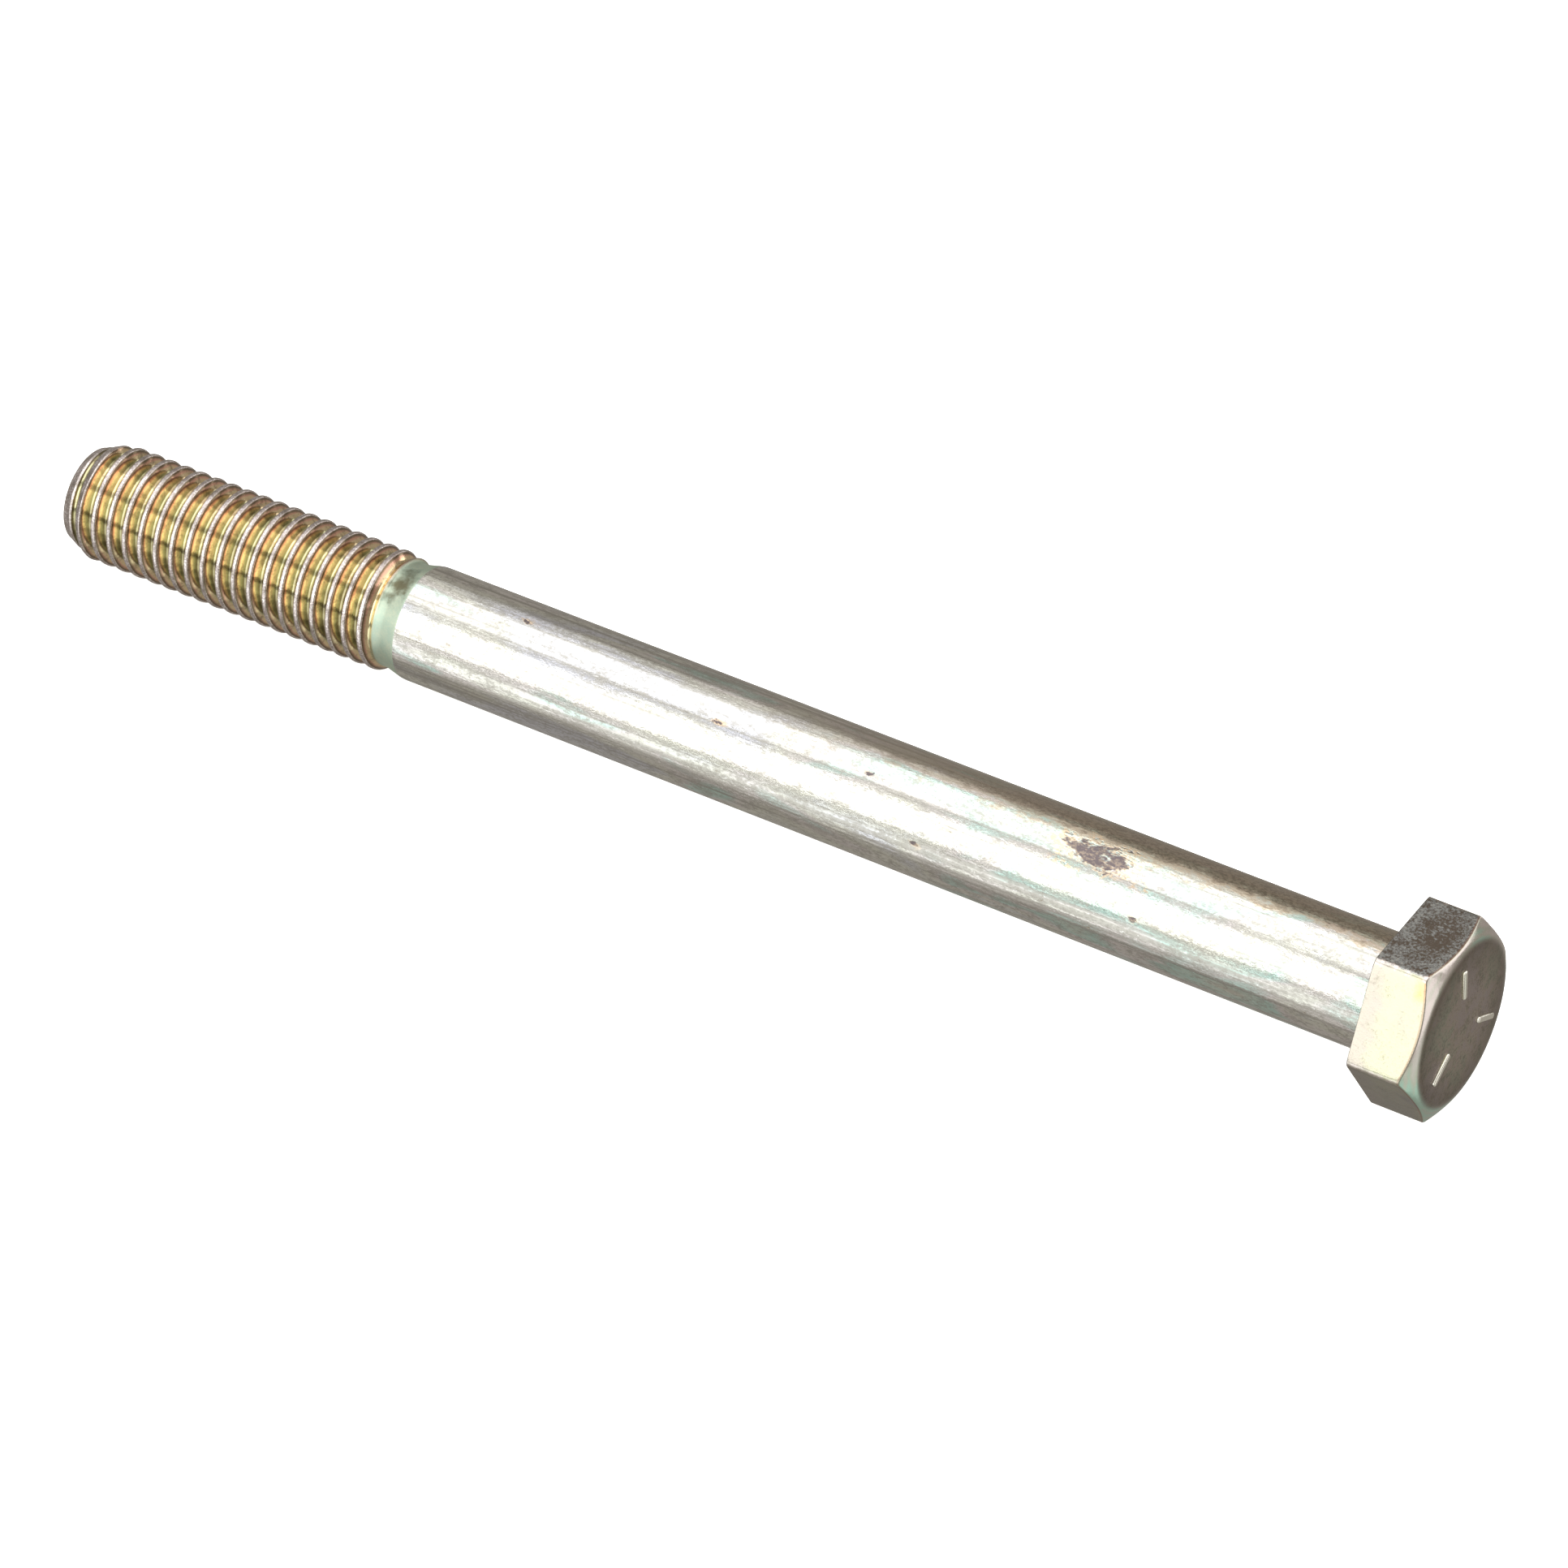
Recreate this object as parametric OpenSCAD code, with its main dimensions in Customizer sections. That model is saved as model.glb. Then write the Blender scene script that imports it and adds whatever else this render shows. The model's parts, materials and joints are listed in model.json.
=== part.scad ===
// Hex cap screw, 1/2-13 UNC, partly threaded, forged and roll-threaded from one steel blank.
// The bolt lies along X: the head is at +X, the thread at -X, and a flat of the head faces down.
// The origin is the centre of the head's bearing face. All sizes are in millimetres.

/* [Head] */
// Width across the flats of the hexagon
across_flats = 18.85; // [17:0.05:24]
// Height of the head from the bearing face to the flat top
head_h = 7; // [5:0.1:12]
// Diameter of the flat disc that the chamfer leaves on top
top_d = 17.3; // [12:0.1:18.5]
// Angle of the top chamfer, from the plane of the top
chamfer_angle = 30; // [20:1:40]
// How far the corners are rounded back at the bearing face
corner_cut = 0.45; // [0.1:0.05:0.8]
// Radius of the fillet between head and shank
fillet_r = 0.6; // [0.2:0.1:1.5]

/* [Grade marks] */
// Distance from the axis to the inner end of each radial line
mark_from = 3.3; // [2:0.1:4]
// Distance from the axis to the outer end of each radial line
mark_to = 6.9; // [5:0.1:8]
// Width of each raised line
mark_w = 0.7; // [0.4:0.1:1.2]
// Height of each raised line
mark_h = 0.25; // [0.1:0.05:0.5]

/* [Shank] */
// Diameter of the plain shank
shank_d = 12.34; // [12.24:0.01:12.7]
// Length of the plain shank, from the bearing face to the shoulder
shank_l = 114.2; // [60:0.1:150]
// Length of the cone from the shank down to the neck
shoulder_l = 2.1; // [1:0.1:6]
// Length of the plain neck between cone and thread
neck_l = 0.7; // [0.5:0.1:4]
// Diameter of the neck, close to the thread's pitch diameter
neck_d = 11.3; // [11:0.05:11.8]

/* [Thread] */
// Outer diameter of the thread
major_d = 12.68; // [12.4:0.01:12.7]
// Advance of the thread per turn
pitch = 1.9538; // [1.5:0.0001:2.2]
// Diameter at the root of the thread
root_d = 10.35; // [10.1:0.05:10.8]
// Length of the thread from the tip to its last trace
thread_l = 39.2; // [20:0.1:60]
// Width of the crest, as a share of the pitch
crest_share = 0.17; // [0.1:0.01:0.25]
// Width of the root, as a share of the pitch
root_share = 0.14; // [0.1:0.01:0.2]
// Length over which the root rises to the neck
runout_l = 2.4; // [2:0.1:6]

/* [Tip] */
// Diameter of the flat end
tip_d = 10.1; // [8:0.1:10.6]
// Length of the chamfer at the end
tip_l = 2.9; // [1:0.1:4]

/* [Hidden] */
ROUND = 96;
FILLET_ROUND = 32;
// How deep one shape reaches into the next, so that they fuse
OVERLAP = 0.5;

corner_r = across_flats / 2 / cos(30);
bearing_d = 2 * (corner_r - corner_cut);
shoulder_x = -shank_l;
neck_x = shoulder_x - shoulder_l;
thread_x = neck_x - neck_l;
tip_x = thread_x - thread_l;

// The thread's surface is a grid: one column per step of turn, and four rows per pitch.
turn_steps = 36;
rows_per_pitch = 4;
pitches = ceil(thread_l / pitch) + 2;
rows = rows_per_pitch * pitches;
row_shares = [-crest_share / 2, crest_share / 2, 0.5 - root_share / 2, 0.5 + root_share / 2];
// Both ends of the thread stay just inside the round shapes they meet.
inset = 0.05;
end_r = neck_d / 2 - inset;
// Length over which the crest falls to the neck
crest_fade_l = 0.9;

// A cylinder or cone along X, from x0 to x1
module along_x(x0, x1, r0, r1) {
    translate([x0, 0, 0])
        rotate([0, 90, 0])
            cylinder(h = x1 - x0, r1 = r0, r2 = r1, $fn = ROUND);
}

// Hexagon with a flat facing down, cut by the top chamfer and by a small one at the bearing face
module head() {
    cone_l = head_h + corner_cut;
    cone_r = top_d / 2 + cone_l / tan(chamfer_angle);
    intersection() {
        rotate([30, 0, 0])
            rotate([0, 90, 0])
                cylinder(h = head_h, r = corner_r, $fn = 6);
        along_x(head_h - cone_l, head_h, cone_r, top_d / 2);
        along_x(0, head_h, bearing_d / 2, bearing_d / 2 + head_h / tan(chamfer_angle));
    }
}

// Ring of metal that blends the shank into the bearing face
module fillet() {
    r = shank_d / 2;
    rotate([0, -90, 0])
        rotate_extrude($fn = ROUND)
            difference() {
                square([r + fillet_r, fillet_r]);
                translate([r + fillet_r, fillet_r])
                    circle(r = fillet_r, $fn = FILLET_ROUND);
            }
}

// Three radial lines on top of the head, 120 degrees apart, each aimed at a flat
module grade_marks() {
    sunk = 0.2;
    for (turn = [0:120:240])
        rotate([turn, 0, 0])
            translate([head_h - sunk, -mark_w / 2, mark_from])
                cube([mark_h + sunk, mark_w, mark_to - mark_from]);
}

// Plain shank, the cone below it and the neck
module shank() {
    along_x(shoulder_x, OVERLAP, shank_d / 2, shank_d / 2);
    along_x(neck_x, shoulder_x, neck_d / 2, shank_d / 2);
    along_x(thread_x, neck_x, neck_d / 2, neck_d / 2);
}

// Share of the way from a to b, held between 0 and 1
function share(x, a, b) = min(1, max(0, (x - a) / (b - a)));

// Place of a grid point along the axis: rows climb by one pitch in each right-hand turn
function grid_x(i, j) =
    let (
        turn = i / turn_steps,
        whole = floor(j / rows_per_pitch) - 1,
        part = row_shares[j % rows_per_pitch]
    )
    min(thread_x, max(tip_x, tip_x + pitch * (whole + part + turn)));

// Distance of a grid point from the axis: crest or root, held under the tip's chamfer,
// and led into the neck where the thread runs out
function grid_r(j, x) =
    let (
        crest = j % rows_per_pitch < 2,
        cone = tip_d / 2 + (major_d - tip_d) / 2 * (x - tip_x) / tip_l,
        fade = crest ? share(x, thread_x - crest_fade_l, thread_x) : share(x, thread_x - runout_l, thread_x),
        full = crest ? major_d / 2 : root_d / 2
    )
    x >= thread_x ? end_r : x <= tip_x ? tip_d / 2 - inset : min(cone, full + (end_r - full) * fade);

function grid_point(i, j) =
    let (
        x = grid_x(i, j),
        r = grid_r(j, x),
        a = 360 * i / turn_steps
    )
    [x, r * cos(a), r * sin(a)];

// Number of a grid point: past a full turn, the grid goes on four rows further up
function grid_n(i, j) = i < turn_steps ? i * (rows + 1) + j : j + rows_per_pitch;

// Right-hand external thread as one closed surface
module thread() {
    points = [for (i = [0:turn_steps - 1]) for (j = [0:rows]) grid_point(i, j)];
    last = rows - rows_per_pitch;
    first_cap = [for (i = [0:turn_steps - 1]) grid_n(i, 0)];
    last_cap = [for (i = [turn_steps - 1:-1:0]) grid_n(i, rows)];
    sides = [
        for (i = [0:turn_steps - 1])
            for (j = [0:(i < turn_steps - 1 ? rows - 1 : last - 1)])
                for (half = [0, 1])
                    half == 0
                        ? [grid_n(i, j), grid_n(i, j + 1), grid_n(i + 1, j)]
                        : [grid_n(i + 1, j), grid_n(i, j + 1), grid_n(i + 1, j + 1)]
    ];
    polyhedron(points = points, faces = concat(sides, [first_cap, last_cap]), convexity = 10);
}

module hex_bolt() {
    color("darkkhaki") {
        head();
        fillet();
        grade_marks();
        shank();
        thread();
    }
}

hex_bolt();
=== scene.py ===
"""Hex cap screw with a partly rolled thread and a pale yellow zinc finish, in a small light tent.

The bolt lies along X with its head at +X, and the origin is the centre of the head's bearing face.
Shapes are modelled in millimetres and brought to metres at the end.
"""
import json
import logging
from collections.abc import Callable, Sequence
from dataclasses import dataclass
from enum import Enum
from math import atan2, cos, degrees, hypot, pi, radians, sin, tan
from typing import Any

import bmesh
import bpy
from mathutils import Matrix, Quaternion, Vector


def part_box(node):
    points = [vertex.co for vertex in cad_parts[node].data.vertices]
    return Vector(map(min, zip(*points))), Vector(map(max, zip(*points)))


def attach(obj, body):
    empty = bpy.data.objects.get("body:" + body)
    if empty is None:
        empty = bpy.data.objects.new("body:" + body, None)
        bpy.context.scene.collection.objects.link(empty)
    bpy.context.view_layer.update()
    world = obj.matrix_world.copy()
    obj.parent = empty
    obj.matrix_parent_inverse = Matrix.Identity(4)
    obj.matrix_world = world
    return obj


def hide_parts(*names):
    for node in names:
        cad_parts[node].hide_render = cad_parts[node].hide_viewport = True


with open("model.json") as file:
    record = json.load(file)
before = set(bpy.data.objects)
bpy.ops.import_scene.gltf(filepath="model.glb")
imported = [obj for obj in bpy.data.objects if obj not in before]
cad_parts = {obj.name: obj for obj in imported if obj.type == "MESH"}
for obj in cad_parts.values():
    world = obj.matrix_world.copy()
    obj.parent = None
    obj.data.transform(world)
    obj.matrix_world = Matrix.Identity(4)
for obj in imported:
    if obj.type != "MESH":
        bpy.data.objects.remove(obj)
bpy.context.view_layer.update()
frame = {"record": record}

LOG = logging.getLogger("hex_bolt")
MM = 0.001
NODE = "hex_bolt"
COLUMNS = 96

Colour = tuple[float, float, float]
Place = tuple[float, float, float]
Stops = Sequence[tuple[float, Colour]]
Move = Callable[[float, float], tuple[float, float]]


class Region(Enum):
    """Parts of the bolt that wear a finish of their own, in the order of its material slots."""

    SHANK = 0
    THREAD = 1
    HEAD = 2


def mount(name: str) -> dict[str, Any]:
    """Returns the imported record's mount of that name."""
    return next(m for m in frame["record"]["mounts"] if m["name"] == name)


def share(value: float, start: float, end: float) -> float:
    """Returns how far value is on its way from start to end, held between 0 and 1."""
    return min(1.0, max(0.0, (value - start) / (end - start)))


def off_axis(vert: bmesh.types.BMVert) -> float:
    """Returns a point's distance from the bolt's axis."""
    return hypot(vert.co.y, vert.co.z)


def ring_at(bm: bmesh.types.BMesh, x: float) -> list[bmesh.types.BMEdge]:
    """Finds the open ring of edges that lies at one place along the axis.

    Args:
        bm: mesh with the open ring.
        x: place of the ring, in millimetres.

    Returns:
        The ring's edges.
    """
    near = 1e-3
    return [e for e in bm.edges if e.is_boundary and all(abs(v.co.x - x) < near for v in e.verts)]


def pull(bm: bmesh.types.BMesh, ring: list[bmesh.types.BMEdge], move: Move) -> list[bmesh.types.BMEdge]:
    """Extrudes an open ring of edges, and moves each new point along and to or from the axis.

    Args:
        bm: mesh that the ring belongs to.
        ring: edges of the open ring.
        move: takes a point's place along the axis and its radius, and gives both anew.

    Returns:
        The edges of the new open ring.
    """
    grown = bmesh.ops.extrude_edge_only(bm, edges=ring)["geom"]
    for vert in (g for g in grown if isinstance(g, bmesh.types.BMVert)):
        radius = off_axis(vert)
        x, new_radius = move(vert.co.x, radius)
        vert.co = (x, vert.co.y * new_radius / radius, vert.co.z * new_radius / radius)
    return [g for g in grown if isinstance(g, bmesh.types.BMEdge) and g.is_boundary]


def to(x: float, radius: float) -> Move:
    """Returns a move that brings every point of a ring to one place and one radius."""
    return lambda _x, _radius: (x, radius)


def round_over(bm: bmesh.types.BMesh, edges: list[bmesh.types.BMEdge], radius: float, steps: int) -> None:
    """Rounds a loop of edges.

    Args:
        bm: mesh that holds the edges.
        edges: edges to round.
        radius: how far the rounding reaches from each edge, in millimetres.
        steps: how many faces cross the rounding.
    """
    bmesh.ops.bevel(
        bm, geom=edges, offset=radius, offset_type="OFFSET", segments=steps, profile=0.5,
        affect="EDGES", material=-1, clamp_overlap=True,
    )


@dataclass
class Thread:
    """Rolled right-hand thread, from the flat end up to the neck."""

    start: float
    end: float
    major_r: float
    root_r: float = 5.175
    neck_r: float = 5.65
    pitch: float = 1.9538
    tip_r: float = 5.05
    tip_l: float = 2.9
    rim_r: float = 0.32
    dish: float = 0.12
    runout_l: float = 2.4
    fade_l: float = 0.9
    lag: float = 0.24
    outline: tuple[tuple[float, float], ...] = (
        (0.0, 1.0), (0.045, 0.995), (0.08, 0.975), (0.108, 0.935), (0.13, 0.88), (0.2, 0.68),
        (0.27, 0.47), (0.35, 0.23), (0.4, 0.09), (0.44, 0.02), (0.5, 0.0),
    )

    def profile(self) -> list[tuple[float, float]]:
        """Returns one pitch from crest to crest, as shares of the pitch and of the height."""
        falling = list(self.outline)
        rising = [(1.0 - along, high) for along, high in reversed(falling[:-1])]
        return falling + rising

    def lead(self, x: float, radius: float) -> float:
        """Holds a point under the end's chamfer, and leads it into the neck where the thread runs out.

        Args:
            x: place along the axis.
            radius: distance from the axis on the full thread.

        Returns:
            The distance from the axis on the finished thread.
        """
        high = (radius - self.root_r) / (self.major_r - self.root_r)
        crest = self.major_r + (self.neck_r - self.major_r) * share(x, self.end - self.fade_l, self.end) ** 2
        root = self.root_r + (self.neck_r - self.root_r) * share(x, self.end - self.runout_l, self.end)
        cone = self.tip_r + (self.major_r - self.tip_r) * (x - self.start) / self.tip_l
        return min(cone, root + (crest - root) * high)

    def roll(self, bm: bmesh.types.BMesh) -> None:
        """Spins one turn of the profile up the screw line, repeats it, and trims both ends square."""
        low = self.start - self.pitch - self.lag
        turns = int((self.end - low) / self.pitch) + 2
        height = self.major_r - self.root_r
        points = [
            bm.verts.new((low + self.pitch * along, self.root_r + height * high, 0.0))
            for along, high in self.profile()
        ]
        wires = [bm.edges.new(pair) for pair in zip(points, points[1:])]
        bmesh.ops.spin(
            bm, geom=points + wires, cent=(0, 0, 0), axis=(1, 0, 0), dvec=(self.pitch / COLUMNS, 0, 0),
            angle=2 * pi, steps=COLUMNS, use_merge=False, use_duplicate=False,
        )
        turn = bm.verts[:] + bm.edges[:] + bm.faces[:]
        for number in range(1, turns):
            copied = bmesh.ops.duplicate(bm, geom=turn)["geom"]
            copy = [g for g in copied if isinstance(g, bmesh.types.BMVert)]
            bmesh.ops.translate(bm, verts=copy, vec=(self.pitch * number, 0, 0))
        bmesh.ops.remove_doubles(bm, verts=bm.verts[:], dist=0.002)
        for x, keep in ((self.start + self.rim_r, -1), (self.end, 1)):
            bmesh.ops.bisect_plane(
                bm, geom=bm.verts[:] + bm.edges[:] + bm.faces[:], dist=1e-5, plane_co=(x, 0, 0),
                plane_no=(keep, 0, 0), clear_outer=True,
            )
        for vert in bm.verts:
            radius = off_axis(vert)
            grow = self.lead(vert.co.x, radius) / radius
            vert.co.y *= grow
            vert.co.z *= grow

    def square_ring(self, bm: bmesh.types.BMesh, x: float) -> list[bmesh.types.BMEdge]:
        """Leaves one point per column on an end ring, where the crossing rows have added more.

        Args:
            bm: mesh of the thread.
            x: place of the ring.

        Returns:
            The ring's edges.
        """
        step, slack = 360.0 / COLUMNS, 0.02

        def between(vert: bmesh.types.BMVert) -> bool:
            """Tells whether a point lies between two columns."""
            turn = degrees(atan2(vert.co.z, vert.co.y))
            return abs((turn + step / 2) % step - step / 2) > slack

        verts = {v for e in ring_at(bm, x) for v in e.verts}
        bmesh.ops.dissolve_verts(bm, verts=[v for v in verts if between(v)])
        return ring_at(bm, x)

    def close_tip(self, bm: bmesh.types.BMesh) -> None:
        """Turns the rounded rim and the shallow dish of the flat end."""
        ring = self.square_ring(bm, self.start + self.rim_r)
        inner = self.tip_r - self.rim_r + self.rim_r * (self.major_r - self.tip_r) / self.tip_l
        for turn in (30, 60, 90):
            angle = radians(turn)
            x = self.start + self.rim_r * (1 - sin(angle))
            ring = pull(bm, ring, to(x, inner + self.rim_r * cos(angle)))
        for part in (0.82, 0.5, 0.2):
            ring = pull(bm, ring, to(self.start + self.dish * (1 - part**2), self.tip_r * part))
        bmesh.ops.edgeloop_fill(bm, edges=ring)


@dataclass
class Shank:
    """Neck, shoulder cone and plain shank, up to the fillet under the head."""

    radius: float
    neck_r: float
    neck_x: float
    shoulder_x: float
    fillet_r: float = 0.6
    shoulder_round: float = 0.3

    def turn(self, bm: bmesh.types.BMesh, ring: list[bmesh.types.BMEdge]) -> list[bmesh.types.BMEdge]:
        """Draws the neck, cone, shank and fillet out of the thread's upper ring.

        Args:
            bm: mesh of the bolt so far.
            ring: open ring at the upper end of the thread.

        Returns:
            The open ring on the bearing face.
        """
        neck = pull(bm, ring, to(self.neck_x, self.neck_r))
        shoulder = pull(bm, neck, to(self.shoulder_x, self.radius))
        ring = shoulder
        cuts = 24
        for cut in range(1, cuts + 1):
            x = self.shoulder_x + (-self.fillet_r - self.shoulder_x) * cut / cuts
            ring = pull(bm, ring, to(x, self.radius))
        for turn in (18, 36, 54, 72, 90):
            angle = radians(turn)
            grown = self.radius + self.fillet_r * (1 - cos(angle))
            ring = pull(bm, ring, to(-self.fillet_r * (1 - sin(angle)), grown))
        round_over(bm, neck + shoulder, self.shoulder_round, 5)
        return ring_at(bm, 0.0)


@dataclass
class Head:
    """Forged and trimmed hexagon with a chamfered top."""

    flat_r: float
    height: float
    top_r: float = 8.65
    chamfer: float = radians(30)
    corner_cut: float = 0.45
    corner_round: float = 0.42
    edge_round: float = 0.16
    rim_round: float = 0.6
    cuts_per_flat: int = 17
    flat_rows: tuple[float, ...] = (0.35, 0.7, 1.0)
    middle_share: float = 0.9
    inside_r: float = 8.0

    @property
    def corner_r(self) -> float:
        """Returns the distance from the axis to a sharp corner."""
        return self.flat_r / cos(radians(30))

    def blank(self, bm: bmesh.types.BMesh) -> list[bmesh.types.BMEdge]:
        """Lays out the rounded hexagon on the bearing face, with a flat facing up and one down.

        Args:
            bm: mesh of the bolt so far.

        Returns:
            The edges of the outline.
        """
        hexagon = bmesh.ops.create_circle(bm, cap_ends=True, radius=self.corner_r, segments=6)["verts"]
        bmesh.ops.rotate(bm, verts=hexagon, cent=(0, 0, 0), matrix=Matrix.Rotation(radians(90), 3, "Y"))
        bmesh.ops.bevel(
            bm, geom=hexagon, offset=self.corner_round, offset_type="OFFSET", segments=4, profile=0.5,
            affect="VERTICES", material=-1,
        )
        many, near = 20, 1e-4
        face = next(f for f in bm.faces if len(f.verts) > many and abs(f.calc_center_median().x) < near)
        sides = [e for e in face.edges if e.calc_length() > self.flat_r / 2]
        bmesh.ops.subdivide_edges(bm, edges=sides, cuts=self.cuts_per_flat)
        outline = list(face.edges)
        bmesh.ops.delete(bm, geom=[face], context="FACES_ONLY")
        return outline

    def chamfer_x(self, radius: float) -> float:
        """Returns where the top chamfer meets a wall at that distance from the axis."""
        return self.height - (radius - self.top_r) * tan(self.chamfer)

    def forge(self, bm: bmesh.types.BMesh, seat: list[bmesh.types.BMEdge]) -> None:
        """Raises the hexagon from its outline, closes its top, and joins it to the shank's fillet.

        Args:
            bm: mesh of the bolt so far.
            seat: open ring at the foot of the fillet, on the bearing face.
        """
        ring = self.blank(bm)
        bearing_r = self.corner_r - self.corner_cut
        edge = self.edge_round
        for turn in (30, 60, 90):
            angle = radians(turn)

            def ease(x: float, r: float, angle: float = angle) -> tuple[float, float]:
                """Climbs the rounded edge between bearing face and flat."""
                rise = edge + max(0.0, r - bearing_r) * tan(self.chamfer)
                return (rise * (1 - cos(angle)), r)

            ring = pull(bm, ring, ease)
        for level in self.flat_rows:
            ring = pull(bm, ring, lambda x, r, level=level: (x + (self.chamfer_x(r) - x) * level, r))
        shoulder = ring
        rim = pull(bm, ring, to(self.height, self.top_r))
        inner = pull(bm, rim, to(self.height, self.top_r * self.middle_share))
        bmesh.ops.edgeloop_fill(bm, edges=inner)
        round_over(bm, rim, self.rim_round, 4)
        round_over(bm, shoulder, self.edge_round, 3)
        self.trim_foot(bm, bearing_r)
        outer = [e for e in ring_at(bm, 0.0) if all(off_axis(v) > self.inside_r for v in e.verts)]
        foot = [e for e in outer if e not in seat]
        bmesh.ops.bridge_loops(bm, edges=seat + foot)

    def trim_foot(self, bm: bmesh.types.BMesh, bearing_r: float) -> None:
        """Draws the lowest ring of the hexagon inwards, which rounds the bearing edge and cuts the corners.

        Args:
            bm: mesh of the bolt so far.
            bearing_r: distance from the axis at which the corners are cut on the bearing face.
        """
        low = {v for e in ring_at(bm, 0.0) for v in e.verts if off_axis(v) > self.inside_r}
        for vert in low:
            radius = off_axis(vert)
            new_radius = min(radius, bearing_r) - self.edge_round
            vert.co.y *= new_radius / radius
            vert.co.z *= new_radius / radius


@dataclass
class GradeLines:
    """Three raised radial lines on top of the head, 120 degrees apart, each aimed at a flat."""

    top_x: float
    height: float
    inner: float = 3.3
    outer: float = 6.9
    width: float = 0.7
    sunk: float = 0.3
    soft: float = 0.24

    def punch(self) -> bpy.types.Object:
        """Returns the three lines as closed bars, sunk a little into the head."""
        bm = bmesh.new()
        for turn in (0, 120, 240):
            earlier = set(bm.verts)
            bar = bmesh.ops.create_cube(bm, size=1.0)["verts"]
            bmesh.ops.scale(bm, verts=bar, vec=(self.height + self.sunk, self.width, self.outer - self.inner))
            edges = {e for v in bar for e in v.link_edges}
            bmesh.ops.bevel(
                bm, geom=list(edges), offset=self.soft, offset_type="OFFSET", segments=4, profile=0.5,
                affect="EDGES", material=-1,
            )
            bar = [v for v in bm.verts if v not in earlier]
            middle = self.top_x + (self.height - self.sunk) / 2
            bmesh.ops.translate(bm, verts=bar, vec=(middle, 0, (self.inner + self.outer) / 2))
            bmesh.ops.rotate(bm, verts=bar, cent=(0, 0, 0), matrix=Matrix.Rotation(radians(turn), 3, "X"))
        return to_object(bm, "grade_lines")


def to_object(bm: bmesh.types.BMesh, name: str) -> bpy.types.Object:
    """Brings a mesh in millimetres to metres and puts it in the scene.

    Args:
        bm: finished mesh, which is used up.
        name: name of the piece.

    Returns:
        The new object, at the origin.
    """
    bmesh.ops.scale(bm, verts=bm.verts[:], vec=(MM, MM, MM))
    bmesh.ops.recalc_face_normals(bm, faces=bm.faces[:])
    mesh = bpy.data.meshes.new(name)
    bm.to_mesh(mesh)
    bm.free()
    piece = bpy.data.objects.new(name, mesh)
    bpy.context.scene.collection.objects.link(piece)
    return piece


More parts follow.
